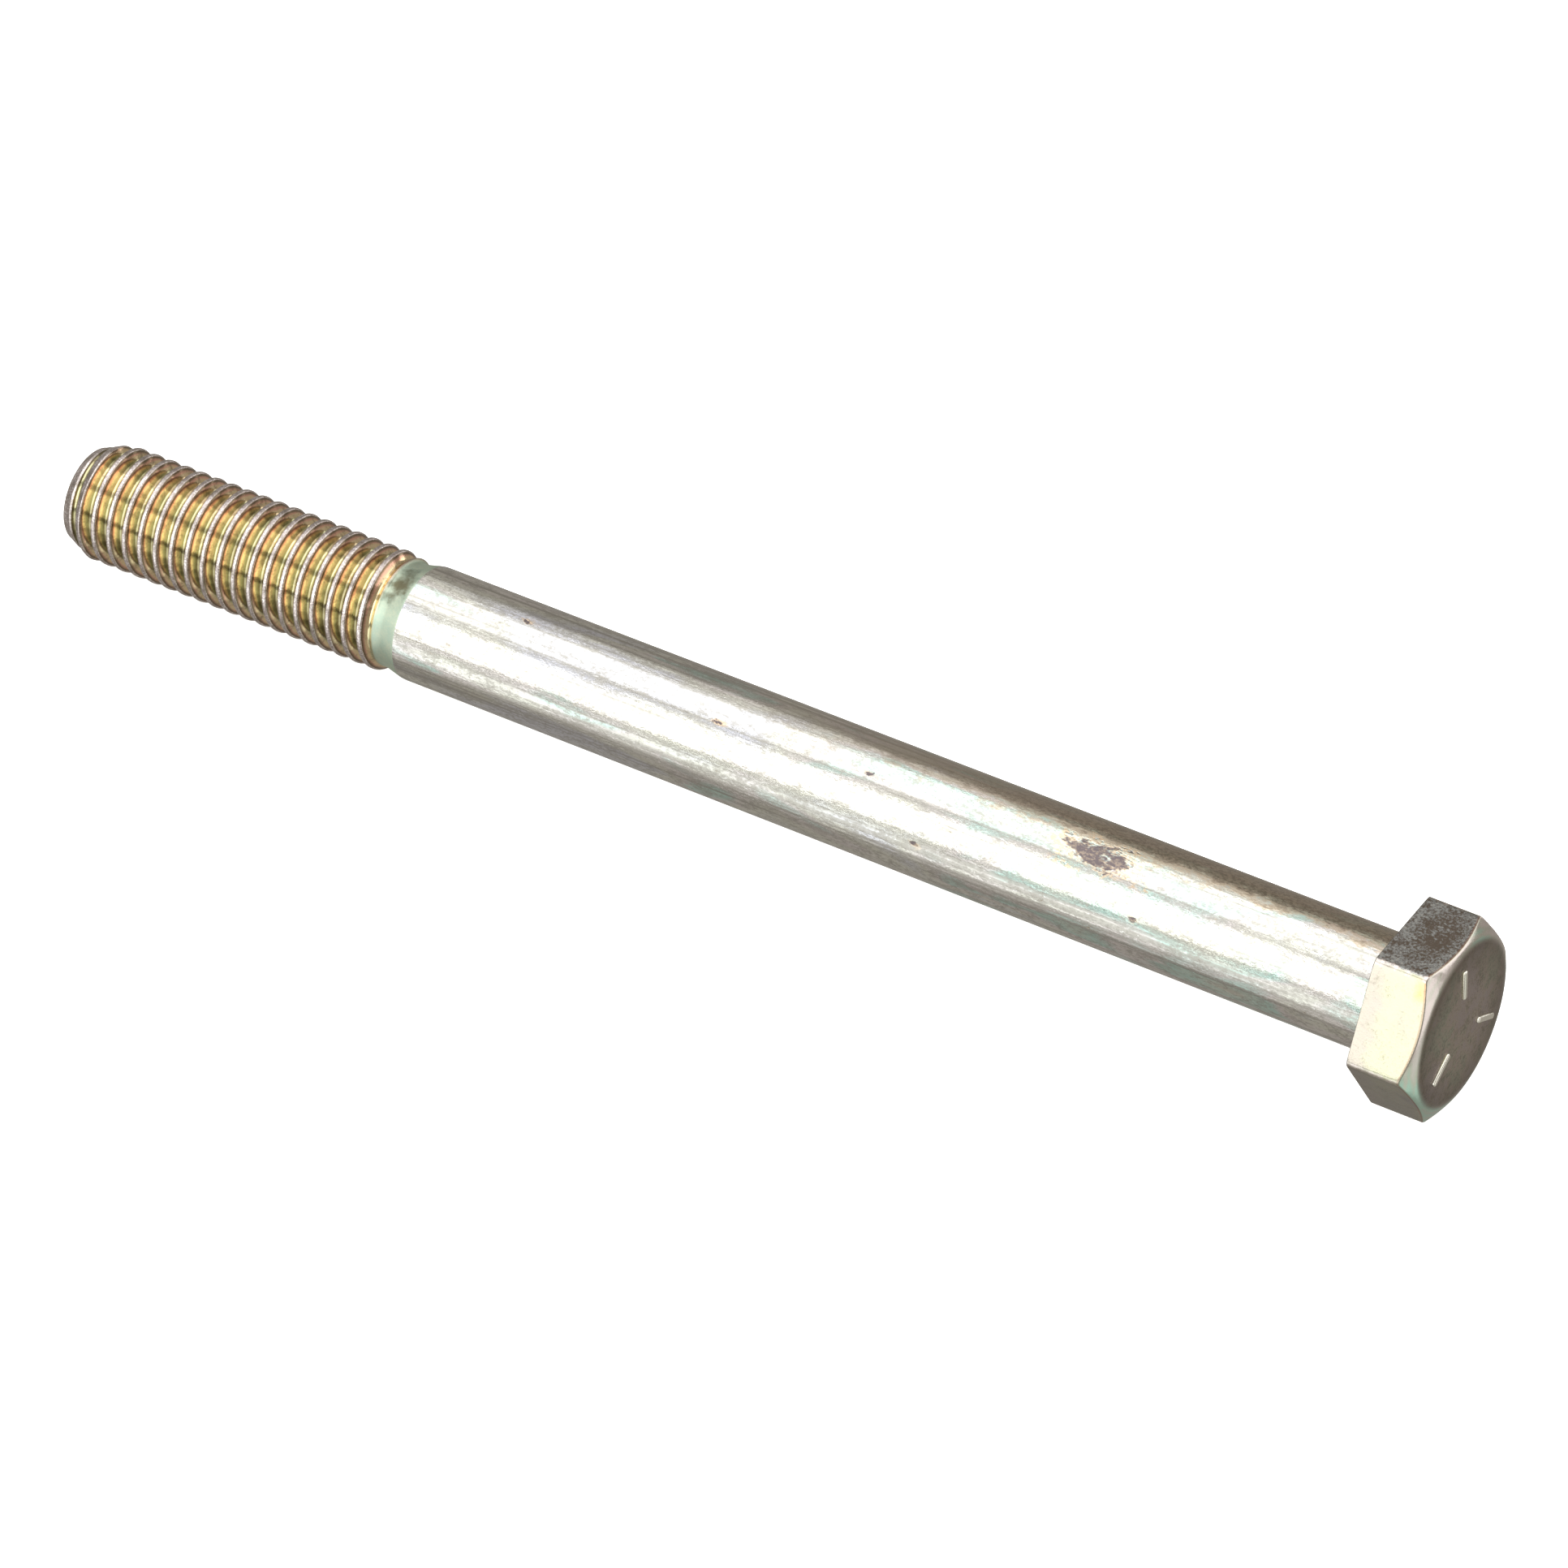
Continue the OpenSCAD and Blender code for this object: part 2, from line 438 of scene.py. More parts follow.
class Recipe:
    """Node graph of one finish, written as calls that take and return sockets."""

    def __init__(self, name: str) -> None:
        """Starts an empty metal material of that name, with its pattern space in millimetres."""
        self.material = bpy.data.materials.new(name)
        self.material.use_nodes = True
        self.tree = self.material.node_tree
        self.tree.nodes.clear()
        self.shader = self.node("ShaderNodeBsdfPrincipled")
        output = self.node("ShaderNodeOutputMaterial")
        self.tree.links.new(self.shader.outputs["BSDF"], output.inputs["Surface"])
        self.coordinates = self.node("ShaderNodeTexCoord")
        self.place = self.stretch(self.coordinates.outputs["Object"], (1000.0, 1000.0, 1000.0))
        self.normal_x, self.normal_y, self.normal_z = self.split(self.coordinates.outputs["Normal"])

    def node(self, kind: str, **settings: Any) -> bpy.types.Node:
        """Adds a node and sets its own properties."""
        node = self.tree.nodes.new(kind)
        for key, value in settings.items():
            setattr(node, key, value)
        return node

    def feed(self, socket: bpy.types.NodeSocket, given: Any) -> None:
        """Links a socket to another, or sets it to a number or colour."""
        if isinstance(given, bpy.types.NodeSocket):
            self.tree.links.new(given, socket)
        elif isinstance(given, tuple) and socket.type == "RGBA":
            socket.default_value = (*given, 1.0)
        else:
            socket.default_value = given

    def stretch(self, vector: bpy.types.NodeSocket, scale: Place) -> bpy.types.NodeSocket:
        """Returns a vector scaled by axis."""
        mapping = self.node("ShaderNodeMapping")
        self.feed(mapping.inputs["Vector"], vector)
        self.feed(mapping.inputs["Scale"], scale)
        return mapping.outputs["Vector"]

    def split(self, vector: bpy.types.NodeSocket) -> list[bpy.types.NodeSocket]:
        """Returns a vector's three numbers."""
        node = self.node("ShaderNodeSeparateXYZ")
        self.feed(node.inputs[0], vector)
        return list(node.outputs)

    def math(self, operation: str, *given: Any) -> bpy.types.NodeSocket:
        """Returns the result of a sum on numbers."""
        node = self.node("ShaderNodeMath", operation=operation)
        for socket, value in zip(node.inputs, given):
            self.feed(socket, value)
        return node.outputs[0]

    def weigh(self, a: Any, share_of_a: float, b: Any, share_of_b: float) -> bpy.types.NodeSocket:
        """Returns a and b added up, each times its share."""
        return self.math("MULTIPLY_ADD", a, share_of_a, self.math("MULTIPLY", b, share_of_b))

    def noise(
        self, scale: Place, detail: float = 2.0, rough: float = 0.5, warp: float = 0.0,
    ) -> bpy.types.NodeSocket:
        """Returns a cloud pattern of 0 to 1.

        Args:
            scale: patches per millimetre along each axis.
            detail: how many finer layers are added.
            rough: how strong the finer layers are.
            warp: how much the pattern is bent.

        Returns:
            The pattern's value.
        """
        node = self.node("ShaderNodeTexNoise")
        self.feed(node.inputs["Vector"], self.stretch(self.place, scale))
        for key, value in (("Scale", 1.0), ("Detail", detail), ("Roughness", rough), ("Distortion", warp)):
            self.feed(node.inputs[key], value)
        return node.outputs["Fac"]

    def band(
        self, value: Any, low: float, high: float, out: tuple[float, float] = (0.0, 1.0),
    ) -> bpy.types.NodeSocket:
        """Returns a smooth step from one number to another while value goes from low to high."""
        node = self.node("ShaderNodeMapRange", interpolation_type="SMOOTHSTEP")
        keys = ("Value", "From Min", "From Max", "To Min", "To Max")
        for key, given in zip(keys, (value, low, high, *out)):
            self.feed(node.inputs[key], given)
        return node.outputs["Result"]

    def ramp(self, value: bpy.types.NodeSocket, stops: Stops) -> bpy.types.NodeSocket:
        """Returns a colour picked along a row of stops."""
        node = self.node("ShaderNodeValToRGB")
        row = node.color_ramp.elements
        while len(row) < len(stops):
            row.new(0.5)
        for element, (position, colour) in zip(row, stops):
            element.position = position
            element.color = (*colour, 1.0)
        self.feed(node.inputs["Fac"], value)
        return node.outputs["Color"]

    def blend(self, share_of_b: Any, a: Any, b: Any) -> bpy.types.NodeSocket:
        """Returns colour a with a share of colour b laid over it."""
        node = self.node("ShaderNodeMix", data_type="RGBA", blend_type="MIX", clamp_factor=True)
        self.feed(node.inputs["Factor"], share_of_b)
        self.feed(node.inputs[6], a)
        self.feed(node.inputs[7], b)
        return node.outputs[2]

    def radius(self) -> bpy.types.NodeSocket:
        """Returns the distance from the bolt's axis, in millimetres."""
        node = self.node("ShaderNodeVectorMath", operation="LENGTH")
        self.feed(node.inputs[0], self.stretch(self.place, (0.0, 1.0, 1.0)))
        return node.outputs["Value"]

    def along(self) -> bpy.types.NodeSocket:
        """Returns the place along the bolt's axis, in millimetres."""
        return self.split(self.place)[0]

    def spot(
        self, centre: Place, reach: Place, ragged: bpy.types.NodeSocket, wild: float, soft: float = 0.25,
    ) -> bpy.types.NodeSocket:
        """Returns 1 inside a ragged patch and 0 outside.

        Args:
            centre: middle of the patch, in millimetres.
            reach: how far it spreads along each axis, in millimetres.
            ragged: pattern that breaks up its edge.
            wild: how strongly the edge is broken up.
            soft: how wide the edge's fade is, as a share of the reach.

        Returns:
            The patch's share.
        """
        scaled = self.stretch(self.place, tuple(1.0 / r for r in reach))
        node = self.node("ShaderNodeVectorMath", operation="DISTANCE")
        self.feed(node.inputs[0], scaled)
        self.feed(node.inputs[1], tuple(c / r for c, r in zip(centre, reach)))
        pushed = self.math("MULTIPLY_ADD", ragged, wild, node.outputs["Value"])
        shift = wild * 0.45
        return self.band(pushed, 1.0 + shift, 1.0 - soft + shift)

    def bump(self, *layers: tuple[bpy.types.NodeSocket, float]) -> None:
        """Raises the surface by each pattern in turn, with its height in micrometres."""
        normal = None
        for height, micrometres in layers:
            node = self.node("ShaderNodeBump")
            self.feed(node.inputs["Height"], height)
            self.feed(node.inputs["Distance"], abs(micrometres) * 1e-6)
            node.invert = micrometres < 0
            if normal is not None:
                self.feed(node.inputs["Normal"], normal)
            normal = node.outputs["Normal"]
        self.feed(self.shader.inputs["Normal"], normal)

    def finish(self, colour: Any, roughness: Any) -> bpy.types.Material:
        """Sets the metal's colour and roughness, and returns the material."""
        self.feed(self.shader.inputs["Base Color"], colour)
        self.feed(self.shader.inputs["Roughness"], roughness)
        self.shader.inputs["Metallic"].default_value = 1.0
        return self.material


@dataclass(frozen=True)
class BrightZinc:
    """Bright drawn shank: silvery zinc under a thin chromate that drifts between lilac, cream and mint."""

    lilac: Colour = (0.79, 0.80, 0.88)
    cream: Colour = (0.86, 0.86, 0.77)
    mint: Colour = (0.61, 0.83, 0.77)
    rose: Colour = (0.85, 0.80, 0.79)
    shade: Colour = (0.44, 0.42, 0.38)
    glint: Colour = (0.97, 0.96, 0.95)
    pit: Colour = (0.36, 0.28, 0.19)
    rust: Colour = (0.82, 0.62, 0.42)
    scab: Colour = (0.17, 0.14, 0.145)
    soil: Colour = (0.25, 0.20, 0.15)
    roughness: float = 0.16
    lilac_at: float = -104.0
    mint_at: float = -18.0
    worn_at: Place = (-33.0, -2.2, 5.76)
    worn_reach: Place = (4.4, 1.9, 1.9)
    halo_reach: float = 1.7
    dent_reach: Place = (0.7, 0.35, 0.35)
    dent_halo: Place = (1.3, 0.5, 0.5)
    soiled: tuple[float, float] = (-85.0, -25.0)
    dents: tuple[Place, ...] = (
        (-101.0, -0.6, 6.1), (-76.6, -3.3, 5.2), (-59.0, -2.7, 5.5), (-27.0, -5.6, 2.6), (-52.0, -5.9, 1.8),
    )

    def mix(self) -> bpy.types.Material:
        """Returns the finish as a material."""
        r = Recipe("bright_zinc")
        drift = r.noise((0.045, 0.2, 0.2), 3.0, 0.55, 0.4)
        drawn = r.noise((0.006, 1.1, 1.1), 2.0, 0.55)
        streak = r.noise((0.03, 2.4, 2.4), 3.0, 0.65)
        grain = r.noise((2.0, 3.4, 3.4), 3.0, 0.75)
        cloud = r.noise((0.45, 0.9, 0.9), 3.0, 0.7)
        blotch = r.noise((0.22, 0.75, 0.75), 5.0, 0.8, 0.3)
        lean = r.band(r.along(), self.lilac_at, self.mint_at, (-0.08, 0.1))
        drift = r.math("ADD", drift, lean)
        tones = (
            (0.36, self.lilac), (0.46, self.cream), (0.54, self.rose), (0.6, self.mint), (0.7, self.cream),
        )
        colour = r.ramp(drift, tones)
        lines = r.band(r.weigh(streak, 0.6, drawn, 0.6), 0.58, 0.74, (0.0, 0.8))
        colour = r.blend(lines, colour, self.shade)
        mottle = r.band(r.weigh(grain, 0.7, cloud, 0.5), 0.53, 0.73, (0.0, 0.75))
        colour = r.blend(mottle, colour, self.shade)
        glint = r.band(grain, 0.4, 0.28, (0.0, 0.7))
        colour = r.blend(glint, colour, self.glint)
        colour = r.blend(r.band(blotch, 0.47, 0.63, (0.0, 0.32)), colour, self.shade)
        back = r.math("MULTIPLY_ADD", cloud, 0.9, r.normal_y)
        near = r.band(r.along(), *self.soiled)
        fringe = r.math("MULTIPLY", near, r.band(back, 0.24, 0.42, (0.0, 0.5)))
        colour = r.blend(fringe, colour, self.rust)
        soil = r.math("MULTIPLY", near, r.band(back, 0.4, 0.56, (0.0, 0.75)))
        soil = r.math("MULTIPLY", soil, r.band(grain, 0.56, 0.42, (0.5, 1.0)))
        colour = r.blend(soil, colour, self.soil)
        pits = r.band(r.weigh(grain, 0.5, cloud, 0.8), 0.83, 0.92, (0.0, 0.8))
        colour = r.blend(pits, colour, self.pit)
        worn = r.spot(self.worn_at, self.worn_reach, cloud, 3.0, 0.4)
        spread = tuple(self.halo_reach * reach for reach in self.worn_reach)
        halo = r.spot(self.worn_at, spread, cloud, 3.0, 0.5)
        halo = r.math("MULTIPLY", halo, r.band(grain, 0.38, 0.56))
        for dent in self.dents:
            worn = r.math("MAXIMUM", worn, r.spot(dent, self.dent_reach, grain, 2.6, 0.5))
            halo = r.math("MAXIMUM", halo, r.spot(dent, self.dent_halo, cloud, 3.6, 0.8))
        colour = r.blend(r.math("MULTIPLY", halo, 0.85), colour, self.rust)
        colour = r.blend(r.math("MULTIPLY", worn, r.band(grain, 0.66, 0.46, (0.65, 1.0))), colour, self.scab)
        rough = r.math("MULTIPLY_ADD", streak, 0.1, self.roughness - 0.05)
        rough = r.math("MULTIPLY_ADD", mottle, 0.14, rough)
        rough = r.math("MULTIPLY_ADD", worn, 0.2, rough)
        r.bump((drawn, 22.0), (streak, 9.0), (cloud, 26.0), (grain, 20.0), (pits, -18.0), (worn, -25.0))
        return r.finish(colour, rough)


@dataclass(frozen=True)
class GoldThread:
    """Rolled thread: crests rubbed pinkish grey, orange under them, gold flanks, roots and tip-facing flanks
    darkened to olive as painted shade, painted shade along the crests, mint neck.
    """

    crest: Colour = (0.58, 0.50, 0.48)
    glint: Colour = (0.92, 0.86, 0.84)
    orange: Colour = (0.92, 0.52, 0.37)
    gold: Colour = (0.93, 0.73, 0.44)
    lime: Colour = (0.66, 0.64, 0.38)
    # Olive plating colour; in the roots and on flanks facing the tip it stands for painted shade.
    olive: Colour = (0.38, 0.34, 0.20)
    mint: Colour = (0.45, 0.56, 0.46)
    pale: Colour = (0.56, 0.62, 0.49)
    # Dark dirt colour, also used for the painted shade along the crests.
    dirt_and_shade: Colour = (0.19, 0.155, 0.095)
    neck_dark_patch: Colour = (0.17, 0.16, 0.10)
    roughness: float = 0.12
    rub: float = 0.15
    neck_fade: float = 0.55
    neck_dark_at: Place = (-115.9, -1.7, 5.5)
    neck_dark_reach: Place = (2.2, 3.6, 3.0)

    def mix(self, thread: Thread) -> bpy.types.Material:
        """Mixes the finish for a thread.

        Args:
            thread: thread whose crests are rubbed.

        Returns:
            The finish as a material.
        """
        r = Recipe("gold_thread")
        drift = r.noise((0.25, 0.35, 0.35), 2.0, 0.5, 0.3)
        grain = r.noise((5.0, 5.0, 5.0), 3.0, 0.65)
        cloud = r.noise((0.9, 0.9, 0.9), 3.0, 0.6)
        # Hue by height and facing: real hue drift, with olive towards the roots and on flanks facing the tip
        # as painted shade.
        lift = r.band(r.radius(), thread.root_r, thread.major_r, (-0.2, 0.34))
        facing = r.math("MULTIPLY_ADD", r.normal_x, 0.12, r.math("MULTIPLY_ADD", drift, 0.45, lift))
        facing = r.math("MULTIPLY_ADD", r.math("MAXIMUM", r.normal_z, 0.1), 0.24, facing)
        tones = (
            (0.13, self.olive), (0.25, self.lime), (0.33, self.gold), (0.45, self.gold), (0.58, self.orange),
        )
        colour = r.ramp(facing, tones)
        slope = (thread.major_r - thread.tip_r) / thread.tip_l
        cone = r.math("MULTIPLY_ADD", r.along(), slope, thread.tip_r - slope * thread.start)
        top = r.math("MINIMUM", cone, thread.major_r)
        under = r.math("MULTIPLY_ADD", grain, 0.1, r.math("SUBTRACT", r.radius(), top))
        rubbed = r.band(under, -self.rub, 0.06 - self.rub)
        # Painted shade: a dark band hugging each crest just below its rubbed top.
        rim = r.math("MULTIPLY", r.band(under, -0.46, -0.04 - self.rub), r.math("SUBTRACT", 1.0, rubbed))
        colour = r.blend(r.math("MULTIPLY", rim, 0.92), colour, self.dirt_and_shade)
        speckle = r.blend(r.band(grain, 0.46, 0.6), self.crest, self.glint)
        colour = r.blend(rubbed, colour, speckle)
        neck = r.band(r.along(), thread.end - self.neck_fade, thread.end)
        plated = r.ramp(r.weigh(grain, 0.5, cloud, 0.5), ((0.42, self.mint), (0.62, self.pale)))
        colour = r.blend(neck, colour, plated)
        dirt_and_shade = r.band(r.weigh(grain, 0.4, cloud, 0.75), 0.54, 0.76, (0.0, 0.55))
        dirt_and_shade = r.math("MULTIPLY", dirt_and_shade, r.math("SUBTRACT", 1.0, neck))
        colour = r.blend(dirt_and_shade, colour, self.dirt_and_shade)
        # Dark olive patch on top of the neck.
        colour = r.blend(r.spot(self.neck_dark_at, self.neck_dark_reach, cloud, 1.6, 0.9), colour, self.neck_dark_patch)
        rough = r.math("MULTIPLY_ADD", grain, 0.08, self.roughness - 0.04)
        rough = r.math("MULTIPLY_ADD", rubbed, 0.14, rough)
        rough = r.math("MULTIPLY_ADD", neck, 0.34, rough)
        r.bump((r.math("MULTIPLY", grain, rubbed), 14.0), (grain, 4.0))
        return r.finish(colour, rough)


@dataclass(frozen=True)
class SatinHead:
    """Forged head: cream zinc, an upper flat stained and darkened as painted shade, a turned chamfer, a
    brown-grey top darkened towards its rim as painted shade, painted shade on faces turned down, raised lines
    lightened partly as painted highlight, and worn edges.
    """

    cream: Colour = (0.59, 0.58, 0.43)
    putty: Colour = (0.47, 0.46, 0.42)
    blush: Colour = (0.53, 0.475, 0.43)
    silver: Colour = (0.68, 0.67, 0.58)
    bare: Colour = (0.80, 0.72, 0.68)
    mint: Colour = (0.55, 0.75, 0.64)
    umber: Colour = (0.47, 0.40, 0.33)
    olive: Colour = (0.43, 0.44, 0.34)
    plum: Colour = (0.45, 0.38, 0.36)
    chalk: Colour = (0.33, 0.335, 0.33)
    # Near-black colour for freckles and patina, also used for painted shade.
    soot_and_shade: Colour = (0.15, 0.12, 0.095)
    rust: Colour = (0.86, 0.56, 0.28)
    seam: Colour = (0.36, 0.20, 0.15)
    # Cream of the raised lines: worn brighter, and partly a painted highlight.
    line: Colour = (0.97, 0.94, 0.84)
    roughness: float = 0.24
    stain_at: Place = (3.6, 0.6, 9.4)
    stain_reach: Place = (3.3, 5.4, 2.2)
    rust_at: Place = (5.5, -6.2, 8.3)
    rust_reach: Place = (1.2, 1.7, 1.7)

    def mix(self, head: Head) -> bpy.types.Material:
        """Mixes the finish for a head.

        Args:
            head: head whose edges and flats are dressed.

        Returns:
            The finish as a material.
        """
        r = Recipe("satin_head")
        drift = r.noise((0.1, 0.13, 0.13), 2.0, 0.5, 0.4)
        grain = r.noise((3.4, 3.4, 3.4), 3.0, 0.7)
        cloud = r.noise((0.75, 0.75, 0.75), 4.0, 0.65)
        radius, x = r.radius(), r.along()
        patchy = r.weigh(grain, 0.6, cloud, 0.55)
        colour = r.ramp(drift, ((0.3, self.putty), (0.44, self.cream), (0.6, self.cream), (0.72, self.blush)))
        low = r.band(r.math("MULTIPLY_ADD", cloud, 4.0, x), 5.0, 3.0, (0.0, 0.8))
        colour = r.blend(low, colour, self.blush)
        rust = r.spot(self.rust_at, self.rust_reach, cloud, 1.4, 0.9)
        colour = r.blend(rust, colour, self.rust)
        freckles = r.band(patchy, 0.6, 0.8, (0.0, 0.4))
        colour = r.blend(freckles, colour, self.soot_and_shade)
        # Up-facing flat: a stain patch and random mottling, over a darker tone that is painted shade.
        stain = r.spot(self.stain_at, self.stain_reach, cloud, 2.6, 0.5)
        tone = r.math("MULTIPLY_ADD", stain, 0.15, r.math("MULTIPLY_ADD", patchy, 1.9, -0.65))
        stain_and_shade = r.ramp(tone, ((0.26, self.putty), (0.4, self.chalk), (0.58, self.soot_and_shade)))
        colour = r.blend(r.band(r.normal_z, 0.88, 0.96), colour, stain_and_shade)
        # Painted shade: faces turned down are darkened.
        under = r.band(r.normal_z, -0.3, -0.45, (0.0, 0.5))
        colour = r.blend(under, colour, self.soot_and_shade)
        chamfer = r.band(r.normal_x, 0.45, 0.7)
        rings = r.math("SINE", r.math("MULTIPLY_ADD", cloud, 5.0, r.math("MULTIPLY", radius, 8.0)))
        shift = r.math("MULTIPLY_ADD", rings, 0.05, r.math("MULTIPLY_ADD", r.normal_z, 0.2, drift))
        turned = r.ramp(shift, ((0.38, self.mint), (0.5, self.silver), (0.62, self.bare)))
        colour = r.blend(chamfer, colour, turned)
        tones = ((0.42, self.plum), (0.5, self.umber), (0.58, self.olive))
        patina = r.ramp(r.weigh(cloud, 0.5, drift, 0.5), tones)
        patina = r.blend(r.band(patchy, 0.54, 0.74, (0.0, 0.6)), patina, self.soot_and_shade)
        # Painted shade: the top darkens towards its rim.
        painted_rim_shade = r.band(r.math("MULTIPLY_ADD", cloud, 3.0, radius), 4.6, 10.6, (0.0, 0.6))
        patina = r.blend(painted_rim_shade, patina, self.soot_and_shade)
        colour = r.blend(r.band(r.normal_x, 0.9, 0.995), colour, patina)
        edge = r.math("MULTIPLY_ADD", r.math("SUBTRACT", radius, head.top_r), tan(head.chamfer), x)
        rim = r.band(edge, head.height - 0.3, head.height - 0.1)
        seam = r.math("MULTIPLY", rim, r.band(r.normal_x, 0.5, 0.3))
        colour = r.blend(r.math("MULTIPLY", seam, 0.65), colour, self.seam)
        worn = r.band(r.math("MULTIPLY_ADD", cloud, 0.8, radius), head.corner_r + 0.18, head.corner_r + 0.36)
        colour = r.blend(r.math("MULTIPLY", worn, 0.9), colour, self.bare)
        # Raised lines lightened: partly wear, partly painted highlight.
        colour = r.blend(r.band(x, head.height + 0.03, head.height + 0.12), colour, self.line)
        rough = r.math("MULTIPLY_ADD", cloud, 0.14, self.roughness - 0.07)
        rough = r.math("MULTIPLY_ADD", stain, 0.1, rough)
        r.bump((cloud, 20.0), (r.math("MULTIPLY", grain, r.math("SUBTRACT", 1.0, chamfer)), 16.0))
        return r.finish(colour, rough)


@dataclass
class HexBolt:
    """The whole bolt, forged and rolled from one blank."""

    head: Head
    shank: Shank
    thread: Thread
    lines: GradeLines
    neck_l: float = 0.7

    @classmethod
    def from_frame(cls) -> "HexBolt":
        """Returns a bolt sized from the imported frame."""
        low, high = (Vector(corner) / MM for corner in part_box(NODE))
        pin, screw, drive = mount("shank"), mount("thread"), mount("hex_drive")
        height = drive["pos_m"][0] / MM
        thread_end = low.x + screw["dims"]["length_mm"]
        shank_r = pin["dims"]["r_mm"]
        shoulder_x = pin["pos_m"][0] / MM - pin["dims"]["length_mm"] / 2
        thread = Thread(start=low.x, end=thread_end, major_r=screw["dims"]["r_mm"])
        neck_x = thread_end + cls.neck_l
        shank = Shank(radius=shank_r, neck_r=thread.neck_r, neck_x=neck_x, shoulder_x=shoulder_x)
        head = Head(flat_r=-low.z, height=height)
        lines = GradeLines(top_x=height, height=high.x - height)
        return cls(head=head, shank=shank, thread=thread, lines=lines)

    def region_of(self, x: float) -> Region:
        """Returns the region at a place along the axis."""
        if x < self.shank.shoulder_x:
            return Region.THREAD
        return Region.SHANK if x < -self.shank.fillet_r / 2 else Region.HEAD

    def build(self) -> bpy.types.Object:
        """Returns the finished bolt as one closed mesh."""
        bm = bmesh.new()
        self.thread.roll(bm)
        self.thread.close_tip(bm)
        seat = self.shank.turn(bm, self.thread.square_ring(bm, self.thread.end))
        self.head.forge(bm, seat)
        piece = to_object(bm, "bolt")
        self.raise_lines(piece)
        self.dress(piece)
        return piece

    def raise_lines(self, piece: bpy.types.Object) -> None:
        """Fuses the grade lines with the head."""
        bars = self.lines.punch()
        join = piece.modifiers.new("grade_lines", "BOOLEAN")
        join.operation = "UNION"
        join.solver = "EXACT"
        join.object = bars
        fused = bpy.data.meshes.new_from_object(piece.evaluated_get(bpy.context.evaluated_depsgraph_get()))
        piece.modifiers.clear()
        piece.data = fused
        bpy.data.objects.remove(bars)

    def dress(self, piece: bpy.types.Object) -> None:
        """Gives each region its finish, and evens out the shading of the flats."""
        finishes = {
            Region.SHANK: BrightZinc().mix(),
            Region.THREAD: GoldThread().mix(self.thread),
            Region.HEAD: SatinHead().mix(self.head),
        }
        for region in Region:
            piece.data.materials.append(finishes[region])
        for polygon in piece.data.polygons:
            polygon.material_index = self.region_of(polygon.center.x / MM).value
            polygon.use_smooth = True
        even = piece.modifiers.new("even_flats", "WEIGHTED_NORMAL")
        even.keep_sharp = True
        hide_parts(NODE)
        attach(piece, "root")


@dataclass(frozen=True)
class Softbox:
    """Softbox that faces the bolt's middle or head."""

    name: str
    towards: Place
    size: tuple[float, float]
    brightness: float
    tint: Colour = (1.0, 1.0, 1.0)
    centre: Place = (0.0, 0.0, 0.0)
    distance: float = 0.9

    @classmethod
    def strip(
        cls, name: str, start: float, stop: float, brightness: float, tint: Colour = (1.0, 1.0, 1.0),
    ) -> "Softbox":
        """Makes a long softbox parallel to the bolt.

        Args:
            name: name of the lamp.
            start: direction of its first edge as the bolt sees it, in degrees from +Y towards +Z.
            stop: direction of its other edge.
            brightness: how bright it looks from the bolt.
            tint: colour of its light.

        Returns:
            The softbox.
        """
        angle, half = radians(start + stop) / 2, radians(stop - start) / 2
        size = (2.2, 2 * cls.distance * tan(half))
        return cls(name, (0.0, cos(angle), sin(angle)), size, brightness, tint, (-0.45, 0.0, 0.0))

    def hang(self) -> None:
        """Puts the softbox in the scene, invisible to the camera."""
        light = bpy.data.lights.new(self.name, "AREA")
        light.shape = "RECTANGLE"
        light.size, light.size_y = self.size
        light.energy = self.brightness * pi * light.size * light.size_y
        light.color = self.tint
        out = Vector(self.towards).normalized()
        side = Vector((1, 0, 0)) if abs(out.x) < 0.5 else Vector((0, 1, 0))
        side = (side - out * side.dot(out)).normalized()
        turn = Matrix((side, out.cross(side), out)).transposed().to_4x4()
        lamp = bpy.data.objects.new(self.name, light)
        lamp.matrix_world = Matrix.Translation(Vector(self.centre) + out * self.distance) @ turn
        lamp.visible_camera = False
        bpy.context.scene.collection.objects.link(lamp)
        LOG.info("%s: %.2f by %.2f m", self.name, *self.size)


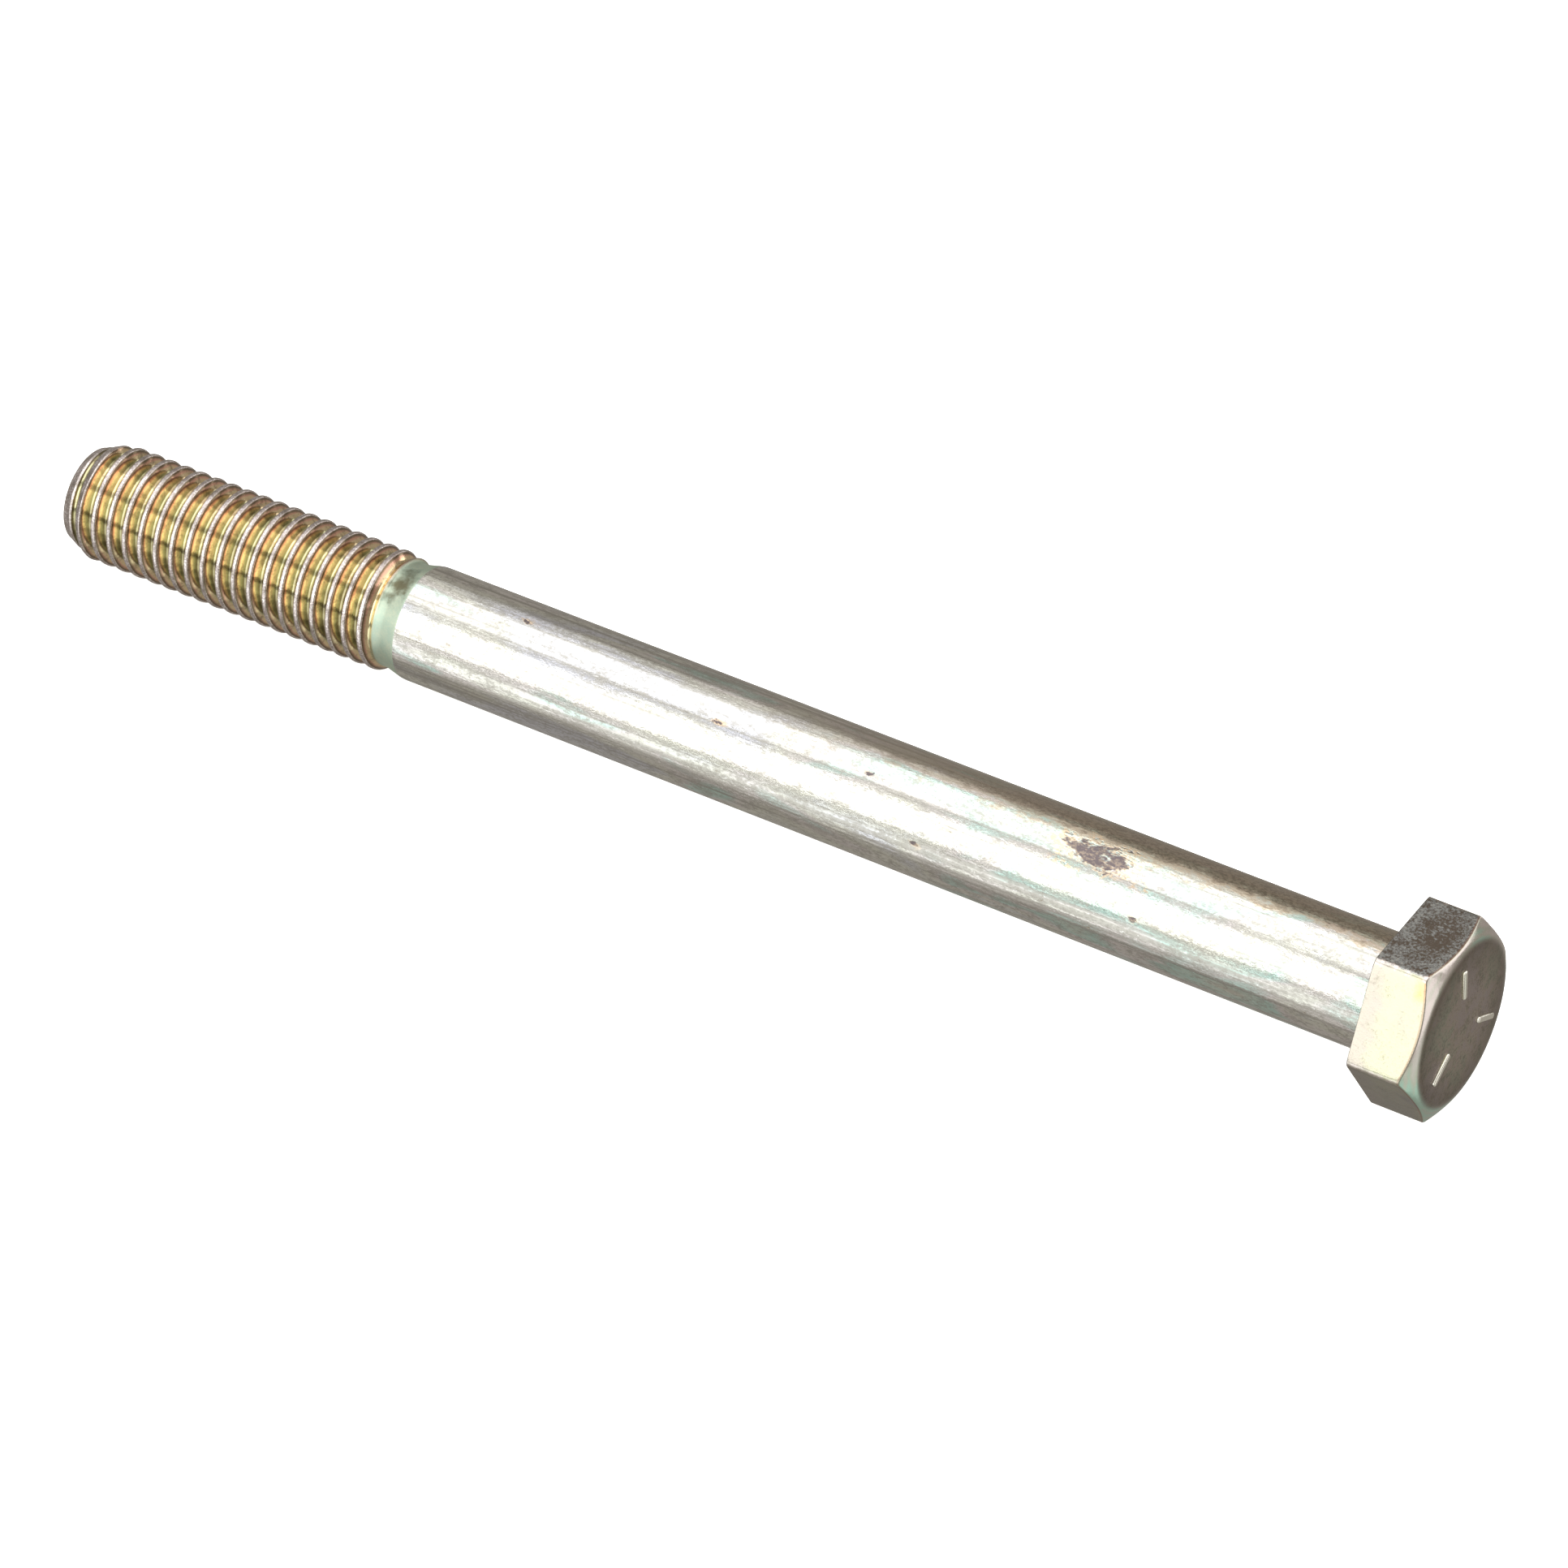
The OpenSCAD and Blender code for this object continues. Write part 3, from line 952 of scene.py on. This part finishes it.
@dataclass
class Studio:
    """Pale floor, light tent and camera."""

    bolt: HexBolt
    softboxes: tuple[Softbox, ...] = (
        Softbox.strip("back_fade", 40.0, 60.0, 0.42),
        Softbox.strip("back", 62.0, 112.5, 1.5, (0.98, 1.0, 1.0)),
        Softbox.strip("seam", 113.5, 124.0, 0.42, (0.96, 0.98, 1.0)),
        Softbox.strip("front", 125.0, 174.5, 1.8, (0.98, 1.0, 0.98)),
        Softbox.strip("low", 184.5, 211.0, 1.18, (0.95, 1.0, 1.0)),
        Softbox.strip("low_fade", 211.5, 229.0, 0.36),
        Softbox("head_end", (1.0, 0.05, -0.08), (0.5, 0.55), 0.78),
        Softbox("head_low", (0.72, 0.05, -0.62), (0.5, 0.5), 0.42, (0.85, 1.0, 0.93)),
        Softbox("head_back", (0.22, 0.96, -0.06), (0.2, 0.16), 1.3),
        Softbox("rear", (0.7, 0.6, 0.42), (0.75, 0.75), 0.95),
    )
    tent: Colour = (0.33, 0.31, 0.28)
    paper: Colour = (0.97, 0.97, 0.97)
    floor_size: float = 12.0
    floor_roughness: float = 0.9
    floor_glow: float = 0.72
    gap: float = 0.02

    def lay_floor(self) -> None:
        """Lays the floor under the head's lower flat and the lowest crest at the tip."""
        thread = self.bolt.thread
        tip_x = thread.start + thread.tip_l
        drop = self.bolt.head.flat_r - thread.major_r
        tilt = atan2(drop, -tip_x)
        bm = bmesh.new()
        bmesh.ops.create_grid(bm, x_segments=1, y_segments=1, size=self.floor_size / MM / 2)
        bmesh.ops.rotate(bm, verts=bm.verts[:], cent=(0, 0, 0), matrix=Matrix.Rotation(tilt, 3, "Y"))
        bmesh.ops.translate(bm, verts=bm.verts[:], vec=(0, 0, -self.bolt.head.flat_r - self.gap))
        floor = to_object(bm, "floor")
        material = bpy.data.materials.new("paper")
        material.use_nodes = True
        shader = material.node_tree.nodes["Principled BSDF"]
        shader.inputs["Base Color"].default_value = (*self.paper, 1.0)
        shader.inputs["Roughness"].default_value = self.floor_roughness
        shader.inputs["Specular IOR Level"].default_value = 0.0
        shader.inputs["Emission Color"].default_value = (1.0, 1.0, 1.0, 1.0)
        shader.inputs["Emission Strength"].default_value = self.floor_glow
        floor.data.materials.append(material)
        floor.visible_glossy = False
        floor.visible_shadow = False

    def hang_tent(self) -> None:
        """Sets a dim warm tent that the metal reflects, and a pale one behind the floor's edge."""
        world = bpy.data.worlds.new("tent")
        world.use_nodes = True
        tree = world.node_tree
        tree.nodes.clear()
        dim = tree.nodes.new("ShaderNodeBackground")
        dim.inputs["Color"].default_value = (*self.tent, 1.0)
        pale = tree.nodes.new("ShaderNodeBackground")
        pale.inputs["Color"].default_value = (*self.paper, 1.0)
        path = tree.nodes.new("ShaderNodeLightPath")
        either = tree.nodes.new("ShaderNodeMixShader")
        output = tree.nodes.new("ShaderNodeOutputWorld")
        tree.links.new(path.outputs["Is Camera Ray"], either.inputs["Fac"])
        tree.links.new(dim.outputs[0], either.inputs[1])
        tree.links.new(pale.outputs[0], either.inputs[2])
        tree.links.new(either.outputs[0], output.inputs["Surface"])
        bpy.context.scene.world = world

    def set_camera(self) -> None:
        """Sets the camera with a long lens, above and to the right of the bolt's front."""
        azimuth, elevation, roll = radians(33.30), radians(40.54), radians(-1.93)
        distance, aim = 956.8, Vector((-69.07, -2.94, 0.0))
        back = Vector((sin(azimuth) * cos(elevation), -cos(azimuth) * cos(elevation), sin(elevation)))
        data = bpy.data.cameras.new("camera")
        data.lens = 219.0
        data.sensor_width = 36.0
        data.clip_end = 50.0
        camera = bpy.data.objects.new("camera", data)
        camera.rotation_mode = "QUATERNION"
        camera.location = (aim + back * distance) * MM
        camera.rotation_quaternion = (-back).to_track_quat("-Z", "Y") @ Quaternion((0, 0, 1), roll)
        bpy.context.scene.collection.objects.link(camera)
        bpy.context.scene.camera = camera

    def set_up(self) -> None:
        """Builds the whole studio."""
        self.lay_floor()
        self.hang_tent()
        for box in self.softboxes:
            box.hang()
        self.set_camera()
        bpy.context.scene.view_settings.view_transform = "Standard"


def main() -> None:
    """Builds the bolt and its studio."""
    logging.basicConfig(level=logging.INFO, format="%(name)s: %(message)s")
    bolt = HexBolt.from_frame()
    piece = bolt.build()
    LOG.info("%s: %d faces", piece.name, len(piece.data.polygons))
    Studio(bolt).set_up()


if __name__ == "__main__":
    main()
